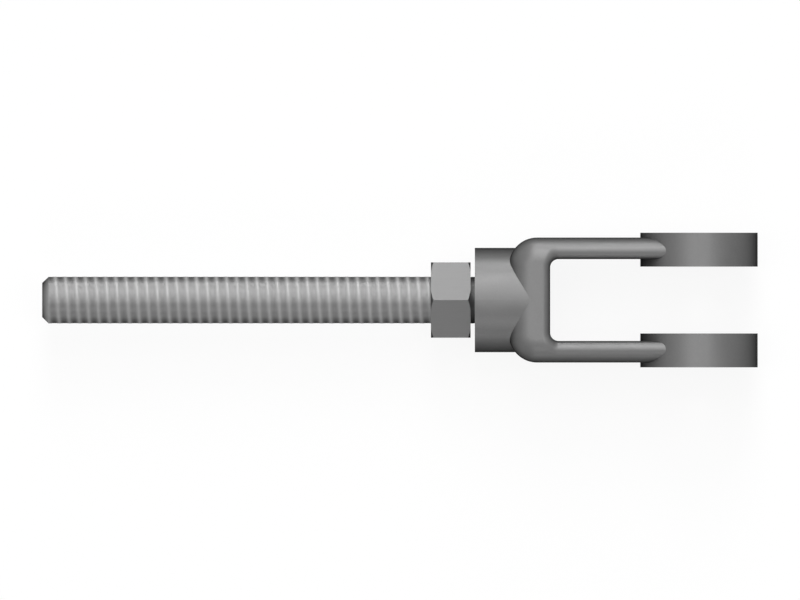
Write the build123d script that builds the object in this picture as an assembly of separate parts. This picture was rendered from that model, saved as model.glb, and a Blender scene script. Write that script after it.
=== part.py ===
from build123d import *
import math
import os

# Tension rod clevis: a forged fork on a threaded rod, held by a lock nut.
# Lengths are in millimetres.
# The origin is the centre of the pin hole, midway between the two ears.
# The rod runs along X and its free end points to -X; the pin goes along Y.
# The fork lies on its side, as it rests on a table, with +Z up.

# Rod
ROD_DIAMETER = 11.83
ROD_FREE_LENGTH = 109.0
ROD_END_CHAMFER = 1.6
ROD_TIP_SETBACK = 1.0

# Lock nut, whose wall is measured from the rod to the middle of a flat
NUT_WALL = 3.585
NUT_THICKNESS = 10.0
NUT_CHAMFER_ANGLE = 30.0
NUT_RING_PAST_FLATS = 0.375
NUT_TO_HUB_GAP = 1.06
NUT_MOUTH_CHAMFER = 0.7

# The holes around the rod have this much room on the radius
THREAD_CLEARANCE = 0.05

# Hub, the round collar around the rod
HUB_WALL = 7.235
HUB_LENGTH = 8.57
HUB_MOUTH_CHAMFER = 0.8

# Fork
BASE_THICKNESS = 10.42
PIN_TO_BASE = 37.49
ARM_THICKNESS = 5.45
OUTER_EDGE_ROUND = 5.8
INNER_EDGE_ROUND = 2.1
CORNER_EXTRA = 1.33
SLOT_CORNER_RADIUS = 2.1
FORK_PROUD_OF_HUB = 0.02

# Ears and pin hole
PIN_DIAMETER = 12.0
PIN_CLEARANCE = 0.5
PIN_MOUTH_CHAMFER = 0.5
EAR_WALL = 8.3
EAR_GAP = 16.83
EAR_PROUD_INSIDE = 1.89
EAR_PROUD_OUTSIDE = 1.21

# Cutting shapes run this far past what they cut, and places are compared to within NEAR
CUT_OVERRUN = 1.0
NEAR = 0.01

# Places along the rod that follow from the sizes above
rod_radius = ROD_DIAMETER / 2
base_inner_x = -PIN_TO_BASE
base_outer_x = base_inner_x - BASE_THICKNESS
hub_face_x = base_outer_x - HUB_LENGTH
nut_inner_x = hub_face_x - NUT_TO_HUB_GAP
nut_outer_x = nut_inner_x - NUT_THICKNESS
rod_free_end_x = hub_face_x - ROD_FREE_LENGTH
rod_inner_end_x = base_inner_x - ROD_TIP_SETBACK

# Rounded edges, where the inner one is held back by the thickness of an arm
inner_edge_round = min(INNER_EDGE_ROUND, 0.4 * ARM_THICKNESS)
bend_radius = OUTER_EDGE_ROUND + CORNER_EXTRA

# Widths and radii
hub_radius = rod_radius + HUB_WALL
half_height = hub_radius + FORK_PROUD_OF_HUB
ear_inner_y = EAR_GAP / 2
slot_half_width = ear_inner_y + EAR_PROUD_INSIDE
fork_half_width = slot_half_width + ARM_THICKNESS
ear_outer_y = fork_half_width + EAR_PROUD_OUTSIDE
pin_hole_radius = PIN_DIAMETER / 2 + PIN_CLEARANCE
ear_radius = pin_hole_radius + EAR_WALL
tapped_radius = rod_radius + THREAD_CLEARANCE
nut_flat_radius = rod_radius + NUT_WALL
nut_corner_radius = nut_flat_radius / math.cos(math.radians(30))


def rod_cylinder(radius, start_x, end_x):
    """A round bar along X between two places."""
    plane = Plane(origin=(start_x, 0, 0), z_dir=(1, 0, 0))
    return extrude(plane * Circle(radius), end_x - start_x)


def pin_cylinder(radius, start_y, end_y):
    """A round bar along Y between two places."""
    plane = Plane(origin=(0, start_y, 0), z_dir=(0, 1, 0))
    return extrude(plane * Circle(radius), end_y - start_y)


def fork_block():
    """The fork before its slot: two bends behind, square ends at the pin, rounded outer edges."""
    outline = Pos(base_outer_x / 2, 0) * Rectangle(-base_outer_x, 2 * fork_half_width)
    bends = outline.vertices().group_by(Axis.X)[0]
    outline = fillet(bends, bend_radius)
    block = extrude(outline, half_height, both=True)
    rims = block.faces().filter_by(Axis.Z).edges()
    outer_rims = [edge for edge in rims if edge.center().X < -NEAR]
    return fillet(outer_rims, OUTER_EDGE_ROUND)


def slot_cutter():
    """The open space between the arms, with rounded inner corners."""
    length = PIN_TO_BASE + CUT_OVERRUN
    outline = Pos(base_inner_x + length / 2, 0) * Rectangle(length, 2 * slot_half_width)
    corners = outline.vertices().group_by(Axis.X)[0]
    outline = fillet(corners, SLOT_CORNER_RADIUS)
    return extrude(outline, half_height + CUT_OVERRUN, both=True)


def is_slot_rim(edge):
    """True for an edge along the top or bottom rim of the slot."""
    middle = edge.position_at(0.5)
    along = base_inner_x - NEAR < middle.X < -NEAR
    across = abs(middle.Y) < slot_half_width + NEAR
    upright = abs(edge.tangent_at(0.5).Z) > 0.9
    return along and across and not upright


def fork():
    """Both arms and the base between them."""
    bent = fork_block() - slot_cutter()
    rims = [edge for edge in bent.edges() if is_slot_rim(edge)]
    return fillet(rims, inner_edge_round)


def ears():
    """Two thick round bosses that carry the pin."""
    near = pin_cylinder(ear_radius, -ear_outer_y, -ear_inner_y)
    far = pin_cylinder(ear_radius, ear_inner_y, ear_outer_y)
    return near + far


def pin_hole():
    """The hole through both ears, opened a little at its four mouths."""
    hole = pin_cylinder(pin_hole_radius, -ear_outer_y - CUT_OVERRUN, ear_outer_y + CUT_OVERRUN)
    mouth_radius = pin_hole_radius + PIN_MOUTH_CHAMFER
    for side in (-1, 1):
        for face_y, into in ((ear_outer_y, -1), (ear_inner_y, 1)):
            plane = Plane(origin=(0, side * face_y, 0), z_dir=(0, side * into, 0))
            cone = extrude(plane * Circle(mouth_radius), PIN_MOUTH_CHAMFER, taper=45)
            hole = hole + cone
    return hole


def tapped_hole():
    """The hole for the rod through hub and base, opened at the hub's face."""
    hole = rod_cylinder(tapped_radius, hub_face_x - CUT_OVERRUN, base_inner_x + CUT_OVERRUN)
    plane = Plane(origin=(hub_face_x, 0, 0), z_dir=(1, 0, 0))
    mouth = extrude(plane * Circle(tapped_radius + HUB_MOUTH_CHAMFER), HUB_MOUTH_CHAMFER, taper=45)
    return hole + mouth


def hub():
    """The round collar, which ends inside the base where the base is flat on top."""
    flat_from = base_outer_x + OUTER_EDGE_ROUND
    flat_to = base_inner_x - inner_edge_round
    return rod_cylinder(hub_radius, hub_face_x, (flat_from + flat_to) / 2)


def clevis():
    """The forged piece: hub, base, two arms and two ears, with its holes."""
    body = fork() + hub() + ears()
    return body - tapped_hole() - pin_hole()


def threaded_rod():
    """The rod on its outside diameter, with both ends chamfered."""
    bar = rod_cylinder(rod_radius, rod_free_end_x, rod_inner_end_x)
    rims = bar.edges().filter_by(GeomType.CIRCLE)
    return chamfer(rims, ROD_END_CHAMFER)


def nut_turning():
    """The shape that the nut's corners are turned to: a drum with a cone at each end."""
    drum_radius = nut_corner_radius + CUT_OVERRUN
    ring_radius = nut_flat_radius + NUT_RING_PAST_FLATS
    slope = (drum_radius - ring_radius) * math.tan(math.radians(NUT_CHAMFER_ANGLE))
    profile = Polyline(
        (nut_outer_x, 0),
        (nut_outer_x, ring_radius),
        (nut_outer_x + slope, drum_radius),
        (nut_inner_x - slope, drum_radius),
        (nut_inner_x, ring_radius),
        (nut_inner_x, 0),
        close=True,
    )
    return revolve(make_face(profile), Axis.X)


def nut_bore():
    """The nut's hole, opened at both faces."""
    hole = rod_cylinder(tapped_radius, nut_outer_x - CUT_OVERRUN, nut_inner_x + CUT_OVERRUN)
    for face_x, into in ((nut_outer_x, 1), (nut_inner_x, -1)):
        plane = Plane(origin=(face_x, 0, 0), z_dir=(into, 0, 0))
        mouth = extrude(plane * Circle(tapped_radius + NUT_MOUTH_CHAMFER), NUT_MOUTH_CHAMFER, taper=45)
        hole = hole + mouth
    return hole


def lock_nut():
    """A hexagon nut with two flats facing along Y and its corners turned off at both ends."""
    plane = Plane(origin=(nut_outer_x, 0, 0), x_dir=(0, 0, 1), z_dir=(1, 0, 0))
    hexagon = plane * RegularPolygon(nut_corner_radius, 6)
    bar = extrude(hexagon, NUT_THICKNESS)
    return (bar & nut_turning()) - nut_bore()


def save(shape, node):
    """Write one piece and print its volume."""
    solid = shape.solid()
    print(node, "volume", round(solid.volume, 1))
    export_step(solid, os.path.join("parts", node + ".step"))


os.makedirs("parts", exist_ok=True)
save(clevis(), "clevis")
save(threaded_rod(), "threaded_rod")
save(lock_nut(), "lock_nut")
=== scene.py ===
# %% [markdown]
# A tension rod clevis in Blender.
# A forged steel fork with two round ears is screwed on a long threaded rod,
# and a hexagon lock nut on the rod is about to be turned up against the fork's hub.
# This file is a lesson in cells. The solid shapes come ready made, as a frame of CAD pieces
# in metres: the origin is the centre of the pin hole, the rod runs to -X, and +Z is up.
# What is left for Blender is the rolled thread, the finish of every piece, and the studio.

# %% Load the frame
import math

import bmesh
import bpy
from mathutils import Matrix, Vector


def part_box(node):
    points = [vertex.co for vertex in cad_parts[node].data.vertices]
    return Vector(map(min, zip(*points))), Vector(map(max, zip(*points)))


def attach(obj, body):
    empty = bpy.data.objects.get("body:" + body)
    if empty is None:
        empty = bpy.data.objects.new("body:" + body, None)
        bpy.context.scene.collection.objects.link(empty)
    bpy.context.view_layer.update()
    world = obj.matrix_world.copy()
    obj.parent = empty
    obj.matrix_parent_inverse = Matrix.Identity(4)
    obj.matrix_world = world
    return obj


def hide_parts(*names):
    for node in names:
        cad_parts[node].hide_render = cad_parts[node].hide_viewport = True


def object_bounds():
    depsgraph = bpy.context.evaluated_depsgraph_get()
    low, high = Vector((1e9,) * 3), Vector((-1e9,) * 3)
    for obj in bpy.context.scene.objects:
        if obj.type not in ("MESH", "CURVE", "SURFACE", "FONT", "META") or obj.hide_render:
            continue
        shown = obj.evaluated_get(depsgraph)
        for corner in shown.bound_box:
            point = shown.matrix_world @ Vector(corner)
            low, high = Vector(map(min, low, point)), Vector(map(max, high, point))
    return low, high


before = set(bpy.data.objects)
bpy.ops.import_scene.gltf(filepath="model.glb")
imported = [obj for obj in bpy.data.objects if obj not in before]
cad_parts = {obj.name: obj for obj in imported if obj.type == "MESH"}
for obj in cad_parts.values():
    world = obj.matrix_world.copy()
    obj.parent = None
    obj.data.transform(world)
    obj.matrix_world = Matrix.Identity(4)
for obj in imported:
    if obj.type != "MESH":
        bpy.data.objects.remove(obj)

MM = 0.001

cad_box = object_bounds()
print("pieces in the frame:", sorted(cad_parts))
print("box of the frame in mm:", [[round(c / MM, 2) for c in corner] for corner in cad_box])

# %% [markdown]
# The camera comes first, because every look at the work goes through it.
# The photograph looks straight at the fork's side with no perspective at all,
# so the camera is orthographic. Its picture is as wide as its scale says, however far away it
# stands, so it only has to stand clear above the piece. The scale is the width of the photograph's
# frame in real metres, and the camera is over the spot that falls on the middle of that frame.

# %% Camera at the photograph's angle
PHOTO_WIDTH = 800
PHOTO_HEIGHT = 600
PIN_IN_PHOTO = (698.97, 300.04)
PHOTO_SCALE = 0.25195 * MM
CAMERA_HEIGHT = 0.6

camera_data = bpy.data.cameras.new("photo_camera")
camera_data.type = "ORTHO"
camera_data.ortho_scale = PHOTO_WIDTH * PHOTO_SCALE
camera = bpy.data.objects.new("photo_camera", camera_data)
camera.location = (
    (PHOTO_WIDTH / 2 - PIN_IN_PHOTO[0]) * PHOTO_SCALE,
    (PIN_IN_PHOTO[1] - PHOTO_HEIGHT / 2) * PHOTO_SCALE,
    CAMERA_HEIGHT,
)
bpy.context.scene.collection.objects.link(camera)
bpy.context.scene.camera = camera
bpy.context.scene.view_settings.view_transform = "Standard"
print("the camera sees", round(camera_data.ortho_scale / MM, 1), "mm across")

# %% [markdown]
# A node material is a small network. A few short helpers keep it readable: they add a node with
# its values, join an output to an input, feed an input with either a number or an output, and do
# one step of arithmetic. The floor, the sky and the steels are all built with them.

# %% Helpers for node networks
def add_node(tree, kind, operation=None, **values):
    """Add a node, with its operation and the values of the inputs named; _ stands for a space."""
    node = tree.nodes.new(kind)
    if operation:
        node.operation = operation
    for name, value in values.items():
        node.inputs[name.replace("_", " ")].default_value = value
    return node


def join(tree, source, target):
    """Join an output socket to an input socket."""
    tree.links.new(source, target)


def feed(tree, value, socket):
    """Give an input either a number or another node's output."""
    if isinstance(value, (int, float)):
        socket.default_value = value
    else:
        join(tree, value, socket)


def combine(tree, operation, first, second):
    """One step of arithmetic on two outputs or numbers."""
    node = add_node(tree, "ShaderNodeMath", operation)
    feed(tree, first, node.inputs[0])
    feed(tree, second, node.inputs[1])
    return node.outputs[0]


# %% [markdown]
# The background of the photograph is plain white. A white floor alone would need very strong
# lamps to come out white, and those would burn out the steel. So the floor and the sky show
# themselves as white to the camera and in reflections, while the soft light that they pass on to
# the steel is only that of a pale lit floor and a dark grey sky. The Light Path node tells the two
# kinds of rays apart, and a Mix Shader answers each with its own shader.

# %% One shader for what looks, another for soft light
WHITE = (1, 1, 1, 1)


def grey(level):
    """A grey as a colour."""
    return (level, level, level, 1)


def empty_network(owner):
    """Give a material or a sky an empty network."""
    owner.use_nodes = True
    owner.node_tree.nodes.clear()
    return owner.node_tree


def seen_directly(tree):
    """1 for rays from the camera and for rays mirrored or bent by a surface, otherwise 0."""
    rays = add_node(tree, "ShaderNodeLightPath")
    mirrored = combine(tree, "MAXIMUM", rays.outputs["Is Glossy Ray"], rays.outputs["Is Transmission Ray"])
    return combine(tree, "MAXIMUM", rays.outputs["Is Camera Ray"], mirrored)


def show_or_light(tree, soft, shown, output_kind):
    """Answer soft light with one shader, and whatever sees the surface directly with another."""
    choice = add_node(tree, "ShaderNodeMixShader")
    output = add_node(tree, output_kind)
    join(tree, seen_directly(tree), choice.inputs[0])
    join(tree, soft.outputs[0], choice.inputs[1])
    join(tree, shown.outputs[0], choice.inputs[2])
    join(tree, choice.outputs[0], output.inputs["Surface"])


# %% [markdown]
# The floor that is seen is nearly all glow, which no lamp changes. A small part of its white is
# still its true, lit surface. That part goes dark where the fork keeps the lamps off it, and so
# leaves a faint soft shadow.

# %% The floor's material
FLOOR_GREY = 0.80
FLOOR_GLOW = 0.90
FLOOR_LIT = 0.10

floor_material = bpy.data.materials.new("studio_floor")
floor_tree = empty_network(floor_material)
floor_soft = add_node(floor_tree, "ShaderNodeBsdfDiffuse", Color=grey(FLOOR_GREY))
floor_lit = add_node(floor_tree, "ShaderNodeBsdfDiffuse", Color=grey(FLOOR_LIT))
floor_glow = add_node(floor_tree, "ShaderNodeEmission", Color=WHITE, Strength=FLOOR_GLOW)
floor_shown = add_node(floor_tree, "ShaderNodeAddShader")
join(floor_tree, floor_glow.outputs[0], floor_shown.inputs[0])
join(floor_tree, floor_lit.outputs[0], floor_shown.inputs[1])
show_or_light(floor_tree, floor_soft, floor_shown, "ShaderNodeOutputMaterial")
print("floor nodes:", len(floor_tree.nodes))

# %% [markdown]
# The work rests on the floor, so the floor lies at the lowest place of the CAD pieces. It is one
# flat face, far wider than what the camera sees.

# %% The floor
FLOOR_SIZE = 6.0

floor_mesh = bpy.data.meshes.new("studio_floor")
floor_bm = bmesh.new()
bmesh.ops.create_grid(floor_bm, x_segments=1, y_segments=1, size=FLOOR_SIZE / 2)
bmesh.ops.translate(floor_bm, verts=floor_bm.verts, vec=(0, 0, cad_box[0][2]))
floor_bm.to_mesh(floor_mesh)
floor_bm.free()
floor_mesh.materials.append(floor_material)
floor = bpy.data.objects.new("studio_floor", floor_mesh)
bpy.context.scene.collection.objects.link(floor)
print("floor at z =", round(cad_box[0][2] / MM, 2), "mm")

# %% [markdown]
# Above the floor there is nothing but sky. A large dome round the work could make it, but a dome
# would also stand in the way of the lamps. The world needs no mesh and lets every lamp through.

# %% The sky
SKY_GREY = 0.10

sky = bpy.data.worlds.new("studio_sky")
sky_tree = empty_network(sky)
sky_soft = add_node(sky_tree, "ShaderNodeBackground", Color=grey(SKY_GREY))
sky_shown = add_node(sky_tree, "ShaderNodeBackground", Color=WHITE)
show_or_light(sky_tree, sky_soft, sky_shown, "ShaderNodeOutputWorld")
bpy.context.scene.world = sky
print("sky nodes:", len(sky_tree.nodes))

# %% [markdown]
# Sun lamps light every place alike, so the rod gets the same bands from end to end. A wide angle
# makes them soft. A sun of strength pi shows a colour that faces it just as it is written, so
# each lamp is given as a share of such a full sun.

# %% A soft lamp
FULL_SUN = math.pi
LAMP_SOFTNESS = math.radians(20)


def add_lamp(name, direction, share):
    """Add a soft sun lamp that shines from a direction with a share of a full sun."""
    lamp_data = bpy.data.lights.new(name, "SUN")
    lamp_data.energy = share * FULL_SUN
    lamp_data.angle = LAMP_SOFTNESS
    lamp = bpy.data.objects.new(name, lamp_data)
    lamp.rotation_mode = "QUATERNION"
    lamp.rotation_quaternion = Vector(direction).to_track_quat("Z", "Y")
    bpy.context.scene.collection.objects.link(lamp)


# %% [markdown]
# The light in the photograph comes mostly from beyond the top of the picture. The rod is brightest
# a quarter of the way down, stays an even middle grey over much of its lower half, and darkens
# towards its lower edge. An arc of lamps gives that, each at its own tilt from straight above
# towards the top of the picture. A second, weaker arc goes from left to right.
# The two lamps of the first arc at 90 degrees shine level with the floor, and so do four weak ones
# that shine in from the corners. They light the fork's sides for whoever walks round it, and hardly
# touch what faces the camera of the photograph. From a corner their reflections also miss the round
# ears, where lamps at the left and right ends would show as two more bands.

# %% Two arcs of lamps, and one lamp at each corner
ARC = {-90: 0.16, -50: 0.10, 20: 0.18, 35: 0.165, 50: 0.29, 65: 0.12, 90: 0.64}
SIDES = {-35: 0.035, -15: 0.12, 15: 0.115, 35: 0.025}
CORNERS = (45, 135, 225, 315)
CORNER_SHARE = 0.06

light_from_above = 0
for tilt, share in ARC.items():
    angle = math.radians(tilt)
    add_lamp(f"arc_lamp_{tilt}", (0, math.sin(angle), math.cos(angle)), share)
    light_from_above += share * math.cos(angle)
for tilt, share in SIDES.items():
    angle = math.radians(tilt)
    add_lamp(f"side_lamp_{tilt}", (math.sin(angle), 0, math.cos(angle)), share)
    light_from_above += share * math.cos(angle)
for turn in CORNERS:
    angle = math.radians(turn)
    add_lamp(f"corner_lamp_{turn}", (math.cos(angle), math.sin(angle), 0), CORNER_SHARE)
print("lamps:", len(ARC) + len(SIDES) + len(CORNERS))
print("their light on a face that looks up:", round(light_from_above, 2), "of a full sun")

# %% [markdown]
# The thread is what the photograph shows best. On the real rod it is rolled: hard dies press the
# valleys in and the metal flows up into the crests between them, which handling then rubs bright.
# A helix can be made with the Screw modifier, or with the spin operator of bmesh, which turns a
# profile about an axis and can move it along at each step. The spin is used here, because its
# result can be cut and chamfered straight away. One crest is placed by the column of the
# photograph in which it crosses the middle of the rod, and all the others follow by the pitch,
# which is measured there too. The rod's outline is straight in the photograph, so the thread is
# made shallow.

# %% Sizes of the thread
PITCH = 2.535 * MM
CREST_IN_PHOTO = 57.3
THREAD_DEPTH = 0.09 * MM

rod_low, rod_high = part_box("threaded_rod")
crest_radius = rod_high.z
root_radius = crest_radius - THREAD_DEPTH
crest_x = (CREST_IN_PHOTO - PIN_IN_PHOTO[0]) * PHOTO_SCALE
turns_before = math.ceil((crest_x - rod_low.x) / PITCH) + 1
turns = math.ceil((rod_high.x - crest_x) / PITCH) + turns_before + 1
print("rod radius", round(crest_radius / MM, 3), "mm, thread turns", turns)

# %% [markdown]
# A rolled crest is narrow and rounded, and the valley beside it is wide and nearly flat. A bell
# curve has just that form, so it gives the profile, which is one pitch long. One turn is spun from
# it, and the other turns are copies, each a pitch further along. A helix doesn't close on itself,
# so the spin merges nothing. Each turn begins where the turn before it ends and lies edge to edge
# with it, and the doubled vertices along their edges are merged at the end.

# %% The profile of one pitch
HALF_PITCH = 0.5
CREST_WIDTH = 0.16
PROFILE_STEPS = 16


def bell(share):
    """A bell curve over a pitch: 1 on the crest, with CREST_WIDTH for its spread."""
    return math.exp(-0.5 * (share / CREST_WIDTH) ** 2)


def ridge(share):
    """Height of the thread, from 0 in the valley half a pitch away to 1 on the crest."""
    valley = bell(HALF_PITCH)
    return (bell(share) - valley) / (1 - valley)


rod_bm = bmesh.new()
start_x = crest_x - turns_before * PITCH
profile = []
for step in range(PROFILE_STEPS + 1):
    share = step / PROFILE_STEPS - HALF_PITCH
    radius = root_radius + THREAD_DEPTH * ridge(share)
    profile.append(rod_bm.verts.new((start_x + share * PITCH, 0, radius)))
for first, second in zip(profile, profile[1:]):
    rod_bm.edges.new((first, second))
print("profile points:", len(profile))

# %% Spin the profile into a right-hand thread
STEPS_PER_TURN = 64
MERGE_DISTANCE = 0.02 * MM

bmesh.ops.spin(
    rod_bm,
    geom=rod_bm.verts[:] + rod_bm.edges[:],
    cent=(0, 0, 0),
    axis=(1, 0, 0),
    dvec=(PITCH / STEPS_PER_TURN, 0, 0),
    angle=2 * math.pi,
    steps=STEPS_PER_TURN,
    use_merge=False,
    use_duplicate=False,
)
one_turn = rod_bm.verts[:] + rod_bm.edges[:] + rod_bm.faces[:]
for turn in range(1, turns):
    copied = bmesh.ops.duplicate(rod_bm, geom=one_turn)["geom"]
    moved = [item for item in copied if isinstance(item, bmesh.types.BMVert)]
    bmesh.ops.translate(rod_bm, verts=moved, vec=(turn * PITCH, 0, 0))
bmesh.ops.remove_doubles(rod_bm, verts=rod_bm.verts, dist=MERGE_DISTANCE)
print("thread faces:", len(rod_bm.faces))

# %% [markdown]
# The turns run on past both ends of the rod. A Boolean with a box could shorten them, but a plane
# is enough, and a bisect cuts exactly along it and throws away one side. The rod's last stretch at
# each end is its chamfer, so the thread is cut where that begins.

# %% Cut the thread to length
END_CHAMFER = 1.6 * MM
ON_THE_CUT = 0.002 * MM


def cut_across(bm, x, keep_above):
    """Cut a mesh across at x and throw away what is below it, or above it."""
    bmesh.ops.bisect_plane(
        bm,
        geom=bm.verts[:] + bm.edges[:] + bm.faces[:],
        dist=ON_THE_CUT,
        plane_co=(x, 0, 0),
        plane_no=(1, 0, 0),
        clear_outer=not keep_above,
        clear_inner=keep_above,
    )


thread_start_x = rod_low.x + END_CHAMFER
thread_end_x = rod_high.x - END_CHAMFER
cut_across(rod_bm, thread_start_x, keep_above=True)
cut_across(rod_bm, thread_end_x, keep_above=False)
print("thread length:", round((thread_end_x - thread_start_x) / MM, 2), "mm")

# %% [markdown]
# Both ends of the rod are chamfered, and in the photograph the chamfer fades softly from dark to
# light, because its edges are rounded off a little. Here the open rim of the thread is extruded to
# the chamfer's small end, then once more onto the flat face, and what is left is filled. The
# narrow ring on the flat face takes up the soft shading, so that the face itself stays flat.
# An extruded or filled face may point either way, so the normals are recalculated at the end.

# %% Chamfer and close both ends
SOFT_RING = 0.25 * MM
FACING = 0.995


def extrude_rim(bm, rim, shift, radius):
    """Extrude an open rim, move it along the rod and bring it to a radius; give back the new rim."""
    new_geometry = bmesh.ops.extrude_edge_only(bm, edges=rim)["geom"]
    for vert in new_geometry:
        if isinstance(vert, bmesh.types.BMVert):
            narrowing = radius / math.hypot(vert.co.y, vert.co.z)
            vert.co = (vert.co.x + shift, vert.co.y * narrowing, vert.co.z * narrowing)
    return [edge for edge in new_geometry if isinstance(edge, bmesh.types.BMEdge)]


middle_x = (rod_low.x + rod_high.x) / 2
end_radius = crest_radius - END_CHAMFER
open_edges = [edge for edge in rod_bm.edges if edge.is_boundary]
for outward in (-1, 1):
    rim = [edge for edge in open_edges if (edge.verts[0].co.x - middle_x) * outward > 0]
    rim = extrude_rim(rod_bm, rim, outward * END_CHAMFER, end_radius)
    rim = extrude_rim(rod_bm, rim, 0, end_radius - SOFT_RING)
    bmesh.ops.contextual_create(rod_bm, geom=rim)
bmesh.ops.recalc_face_normals(rod_bm, faces=rod_bm.faces)
print("open edges left:", sum(edge.is_boundary for edge in rod_bm.edges))
print("faces that point out at the tip:", sum(face.normal.x < -FACING for face in rod_bm.faces))

# %% [markdown]
# The finish has to know where the crests are. A mesh attribute can tell it: each vertex keeps how
# far up the thread it lies. The shader reads the attribute by name and needs no image.
# The new rod then stands for the plain CAD rod and rides on its body, so it turns along with it.

# %% Mark the crests and finish the rod's mesh
crest_layer = rod_bm.verts.layers.float.new("crest")
for vert in rod_bm.verts:
    radius = math.hypot(vert.co.y, vert.co.z)
    vert[crest_layer] = min(max((radius - root_radius) / THREAD_DEPTH, 0), 1)
for face in rod_bm.faces:
    face.smooth = True
rod_mesh = bpy.data.meshes.new("rolled_rod")
rod_bm.to_mesh(rod_mesh)
rod_bm.free()
rolled_rod = bpy.data.objects.new("rolled_rod", rod_mesh)
bpy.context.scene.collection.objects.link(rolled_rod)
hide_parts("threaded_rod")
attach(rolled_rod, "threaded_rod")
print("rolled_rod triangles:", sum(len(face.vertices) - 2 for face in rod_mesh.polygons))

# %% [markdown]
# All three pieces are plain grey steel, and over all of it lies the thin film of dark oil that
# keeps new steel from rusting. Light that comes off the steel at a slant has a longer way through
# the film, so the steel looks darker where it curves away. The coat of the Principled shader does
# exactly that: its tint is what a straight way through leaves of the light, and an index near 1
# keeps the film itself from shining. Bare steel also shows a bright rim where it is seen at a
# slant. Under the oil there is none, which a specular level of 0 and a black specular tint give.
# One function makes the oiled steel, and each piece adds its own marks to it. A value that is the
# same all over a piece is set on the shader itself, so that an export keeps it.

# %% Grey steel under oil
STEEL_METALLIC = 0.40
OIL_INDEX = 1.02
OIL_ROUGHNESS = 0.5
OIL_TINT = 0.6


def start_steel(name, oil_tint=OIL_TINT):
    """A grey steel under oil: the material, its tree, its shader and its coordinates."""
    material = bpy.data.materials.new(name)
    material.use_nodes = True
    tree = material.node_tree
    shader = tree.nodes["Principled BSDF"]
    shader.inputs["Metallic"].default_value = STEEL_METALLIC
    shader.inputs["Specular IOR Level"].default_value = 0
    shader.inputs["Specular Tint"].default_value = grey(0)
    shader.inputs["Coat Weight"].default_value = 1
    shader.inputs["Coat Roughness"].default_value = OIL_ROUGHNESS
    shader.inputs["Coat IOR"].default_value = OIL_INDEX
    shader.inputs["Coat Tint"].default_value = grey(oil_tint)
    place = add_node(tree, "ShaderNodeTexCoord")
    return material, tree, shader, place


# %% [markdown]
# The marks on the steel are too fine to be made as faces, so they are noise, which changes the
# grey of the steel and its bump or roughness with it. Noise that is stretched along one direction
# looks like lines. It is read at the place on the object, so it stays put when a piece is turned.

# %% Noise with long or short grains
SOFT_DETAIL = 2.0


def stretched_noise(tree, place, grain, detail=SOFT_DETAIL):
    """Soft noise from 0 to 1 whose grains are as long along X, Y and Z as grain says."""
    stretch = add_node(tree, "ShaderNodeMapping", Scale=[1 / length for length in grain])
    noise = add_node(tree, "ShaderNodeTexNoise", Scale=1, Detail=detail)
    join(tree, place.outputs["Object"], stretch.inputs["Vector"])
    join(tree, stretch.outputs[0], noise.inputs["Vector"])
    return noise.outputs[0]


# %% [markdown]
# Noise keeps near its middle and hardly ever gets to 0 or 1. So a Map Range node takes the part
# that it does reach, and stretches that to the range that is wanted. A Mix node goes from one
# value to another, for instance from the skin of the forging to a cut face.

# %% From noise to values
NOISE_LOW = 0.3
NOISE_HIGH = 0.7


def between(tree, source, low, high, source_low=NOISE_LOW, source_high=NOISE_HIGH):
    """Go from low to high as a value goes over its own range."""
    node = add_node(
        tree,
        "ShaderNodeMapRange",
        From_Min=source_low,
        From_Max=source_high,
        To_Min=low,
        To_Max=high,
    )
    join(tree, source, node.inputs["Value"])
    return node.outputs[0]


def spread_about(tree, source, middle, spread):
    """Let noise take a value a little below and above its middle, by a share of it."""
    return between(tree, source, middle * (1 - spread), middle * (1 + spread))


def blend(tree, share, first, second):
    """Go from the first value to the second as share goes from 0 to 1."""
    node = add_node(tree, "ShaderNodeMix")
    feed(tree, share, node.inputs["Factor"])
    feed(tree, first, node.inputs["A"])
    feed(tree, second, node.inputs["B"])
    return node.outputs[0]


# %% [markdown]
# The steel is grey, so one value makes its colour: it goes to red, green and blue alike. The marks
# are only a few thousandths of a millimetre deep, and a Bump node is enough for that. It turns the
# normals as if the surface rose and fell, and leaves the mesh as it is.

# %% From values to the shader
def grey_colour(tree, shader, value):
    """Use one value as a grey colour."""
    colour = add_node(tree, "ShaderNodeCombineColor")
    for channel in colour.inputs:
        join(tree, value, channel)
    join(tree, colour.outputs[0], shader.inputs["Base Color"])


def raise_surface(tree, shader, height, distance):
    """Let a value from 0 to 1 raise the surface by up to distance."""
    bump = add_node(tree, "ShaderNodeBump", Strength=1, Distance=distance)
    join(tree, height, bump.inputs["Height"])
    join(tree, bump.outputs[0], shader.inputs["Normal"])


# %% [markdown]
# A tool that goes round while it cuts a face leaves fine rings about its axis. They are noise
# again, but read at one number only, the distance from the axis.

# %% Rings about an axis
RING_WIDTH = 0.35 * MM
ABOUT_X = (0, 1, 1)
ABOUT_Y = (1, 0, 1)


def rings(tree, place, about):
    """Fine rings from 0 to 1 about an axis; about is 0 along the axis and 1 across it."""
    flat = add_node(tree, "ShaderNodeVectorMath", "MULTIPLY")
    flat.inputs[1].default_value = about
    radius = add_node(tree, "ShaderNodeVectorMath", "LENGTH")
    ring_noise = add_node(tree, "ShaderNodeTexNoise", Scale=1 / RING_WIDTH, Detail=SOFT_DETAIL)
    ring_noise.noise_dimensions = "1D"
    join(tree, place.outputs["Object"], flat.inputs[0])
    join(tree, flat.outputs[0], radius.inputs[0])
    join(tree, radius.outputs["Value"], ring_noise.inputs["W"])
    return ring_noise.outputs[0]


# %% [markdown]
# Only some faces of a piece are cut. A CAD piece has a single material slot and its mesh stays as
# it is, so the shader has to find those faces by itself: they look straight along an axis, and
# how far they lie along it tells one from another.

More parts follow.
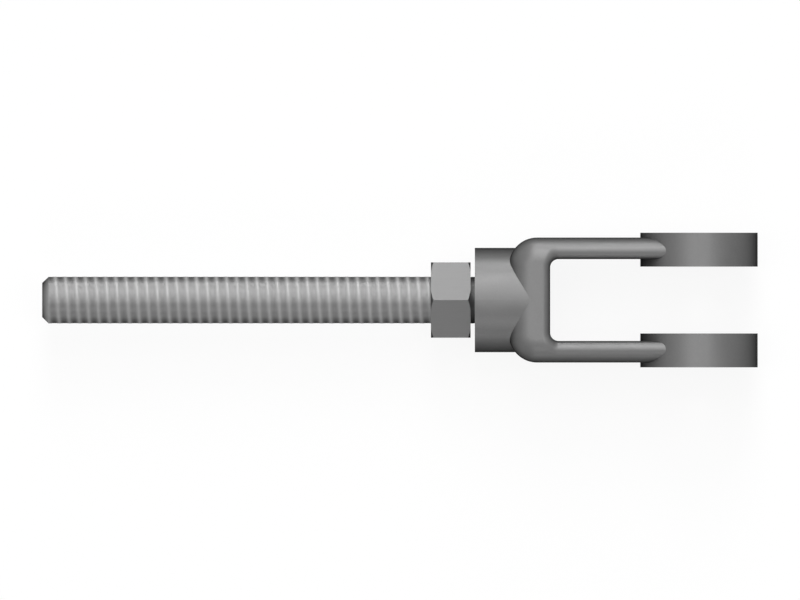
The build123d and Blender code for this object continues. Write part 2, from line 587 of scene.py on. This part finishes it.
# %% Find faces by where they look and where they lie
def part_along(tree, vector, axis):
    """The part of a place or a direction that lies along one axis."""
    split = add_node(tree, "ShaderNodeSeparateXYZ")
    join(tree, vector, split.inputs[0])
    return split.outputs[axis]


def without_sign(tree, value):
    """A value with its minus sign taken away."""
    node = add_node(tree, "ShaderNodeMath", "ABSOLUTE")
    join(tree, value, node.inputs[0])
    return node.outputs[0]


def faces_along(tree, place, axis):
    """1 where the surface faces along an axis to within a few degrees, otherwise 0."""
    lengthwise = part_along(tree, place.outputs["Normal"], axis)
    return combine(tree, "GREATER_THAN", without_sign(tree, lengthwise), FACING)


def farther_than(tree, place, axis, distance):
    """1 where the place is farther than distance along an axis, to either side, otherwise 0."""
    position = part_along(tree, place.outputs["Object"], axis)
    return combine(tree, "GREATER_THAN", without_sign(tree, position), distance)


# %% [markdown]
# The fork keeps the dull, faintly mottled skin of a forging. Only its ear faces and its hub face
# are cut smooth. The ears stand a little proud of the arms on both sides, so their faces are those
# that look along the pin and lie outside the arms or inside them. Where the arms are is known from
# the CAD piece. The hub's face looks along the rod and is the only such face so far from the pin.

# %% Find the fork's cut faces
ARM_OUTER_FACE = 15.755 * MM
ARM_INNER_FACE = 10.305 * MM
FACE_MARGIN = 0.4 * MM
SHORT_OF_HUB_FACE = 50 * MM

forged, tree, shader, place = start_steel("forged_skin")
outside = farther_than(tree, place, "Y", ARM_OUTER_FACE + FACE_MARGIN)
past_arm = farther_than(tree, place, "Y", ARM_INNER_FACE - FACE_MARGIN)
inside = combine(tree, "SUBTRACT", 1, past_arm)
ear_faces = combine(tree, "MULTIPLY", faces_along(tree, place, "Y"), combine(tree, "ADD", outside, inside))
by_the_hub = farther_than(tree, place, "X", SHORT_OF_HUB_FACE)
hub_face = combine(tree, "MULTIPLY", faces_along(tree, place, "X"), by_the_hub)
cut_faces = combine(tree, "MAXIMUM", ear_faces, hub_face)
print("nodes that find the cut faces:", len(tree.nodes))

# %% The forged skin, and rings on the cut faces
FORGED_GREY = 0.265
FORGED_ROUGHNESS = (0.39, 0.45)
BLOTCH_GRAIN = (6 * MM, 6 * MM, 6 * MM)
BLOTCH_SPREAD = 0.025
PIT_GRAIN = (0.5 * MM, 0.5 * MM, 0.5 * MM)
PIT_DETAIL = 3.0
PIT_SPREAD = 0.02
CUT_FACE_GREY = 0.31
CUT_FACE_ROUGHNESS = 0.32
CUT_FACE_SPREAD = 0.08
FORK_RELIEF = 0.006 * MM

blotches = stretched_noise(tree, place, BLOTCH_GRAIN)
pits = stretched_noise(tree, place, PIT_GRAIN, PIT_DETAIL)
skin_grey = combine(
    tree,
    "MULTIPLY",
    spread_about(tree, blotches, FORGED_GREY, BLOTCH_SPREAD),
    spread_about(tree, pits, 1, PIT_SPREAD),
)
tool_marks = blend(tree, hub_face, rings(tree, place, ABOUT_Y), rings(tree, place, ABOUT_X))
cut_grey = spread_about(tree, tool_marks, CUT_FACE_GREY, CUT_FACE_SPREAD)
grey_colour(tree, shader, blend(tree, cut_faces, skin_grey, cut_grey))
skin_roughness = between(tree, blotches, *FORGED_ROUGHNESS)
join(tree, blend(tree, cut_faces, skin_roughness, CUT_FACE_ROUGHNESS), shader.inputs["Roughness"])
raise_surface(tree, shader, blend(tree, cut_faces, pits, tool_marks), FORK_RELIEF)
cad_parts["clevis"].material_slots[0].material = forged
print("forged skin nodes:", len(tree.nodes))

# %% [markdown]
# The nut is cut all over, with rings on its two ends and straight fine lines along its flats.
# The lines are noise with grains that are long along the rod and very short across it.

# %% The cut steel of the nut
NUT_GREY = 0.265
NUT_SPREAD = 0.025
NUT_ROUGHNESS = (0.37, 0.43)
FLAT_LINE_GRAIN = (6 * MM, 0.25 * MM, 0.25 * MM)
NUT_RELIEF = 0.003 * MM

cut_steel, tree, shader, place = start_steel("cut_nut_steel")
end_faces = faces_along(tree, place, "X")
flat_lines = stretched_noise(tree, place, FLAT_LINE_GRAIN)
tool_marks = blend(tree, end_faces, flat_lines, rings(tree, place, ABOUT_X))
grey_colour(tree, shader, spread_about(tree, tool_marks, NUT_GREY, NUT_SPREAD))
join(tree, between(tree, tool_marks, *NUT_ROUGHNESS), shader.inputs["Roughness"])
raise_surface(tree, shader, tool_marks, NUT_RELIEF)
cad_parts["lock_nut"].material_slots[0].material = cut_steel
print("nut nodes:", len(tree.nodes))

# %% [markdown]
# The rod is rolled, and its crests are rubbed: there the oil is gone, and the bare metal shines.
# In the narrow gap between the nut and the hub, the rod carries painted shade: its grey is darker
# there and its crests stay dull, in place of the shadow that the nut and the hub cast there. The
# boxes of the nut and the hub say where that gap is, so the painted dark ring needs no place of its
# own. It belongs to the rod, and stays there when the nut is moved along.

# %% Find the rubbed crests and the gap with painted shade
ROD_OIL_TINT = 0.65
GAP_FADE = 0.5 * MM

rolled, tree, shader, place = start_steel("rolled_rod_steel", ROD_OIL_TINT)
gap_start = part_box("lock_nut")[1].x
gap_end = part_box("clevis")[0].x
half_gap = (gap_end - gap_start) / 2
position = part_along(tree, place.outputs["Object"], "X")
from_gap = without_sign(tree, combine(tree, "SUBTRACT", position, (gap_start + gap_end) / 2))
gap_shade_mask = between(tree, from_gap, 1, 0, half_gap, half_gap + GAP_FADE)
crest = add_node(tree, "ShaderNodeAttribute")
crest.attribute_name = "crest"
# Painted shade: in the gap between the nut and the hub the crests are not made bright.
rubbed_outside_gap_shade = combine(tree, "MULTIPLY", crest.outputs["Fac"], combine(tree, "SUBTRACT", 1, gap_shade_mask))
print("gap between nut and hub:", round((gap_end - gap_start) / MM, 2), "mm")

# %% The rolled steel of the rod
ROD_GREY = 0.258
ROD_SPREAD = 0.035
ROD_ROUGHNESS = 0.4
CREST_GREY = 0.262
CREST_ROUGHNESS = 0.45
CREST_METALLIC = 0.42
# The share of its grey that the rod keeps under the painted shade in the gap.
GAP_SHADE_SHARE = 0.58
ROLLING_GRAIN = (0.35 * MM, 8 * MM, 8 * MM)
ROD_RELIEF = 0.002 * MM

rolling_lines = stretched_noise(tree, place, ROLLING_GRAIN)
bare = blend(tree, rubbed_outside_gap_shade, ROD_GREY, CREST_GREY)
# Painted shade: the rod's grey is darker in the gap, where the nut and the hub would shade it.
grey_with_gap_shade = combine(tree, "MULTIPLY", bare, blend(tree, gap_shade_mask, 1, GAP_SHADE_SHARE))
rod_tone = spread_about(tree, rolling_lines, 1, ROD_SPREAD)
grey_colour(tree, shader, combine(tree, "MULTIPLY", grey_with_gap_shade, rod_tone))
join(tree, blend(tree, rubbed_outside_gap_shade, STEEL_METALLIC, CREST_METALLIC), shader.inputs["Metallic"])
join(tree, blend(tree, rubbed_outside_gap_shade, ROD_ROUGHNESS, CREST_ROUGHNESS), shader.inputs["Roughness"])
join(tree, combine(tree, "SUBTRACT", 1, rubbed_outside_gap_shade), shader.inputs["Coat Weight"])
join(tree, rubbed_outside_gap_shade, shader.inputs["Specular Tint"])
raise_surface(tree, shader, rolling_lines, ROD_RELIEF)
rod_mesh.materials.append(rolled)
print("rolled steel nodes:", len(tree.nodes))
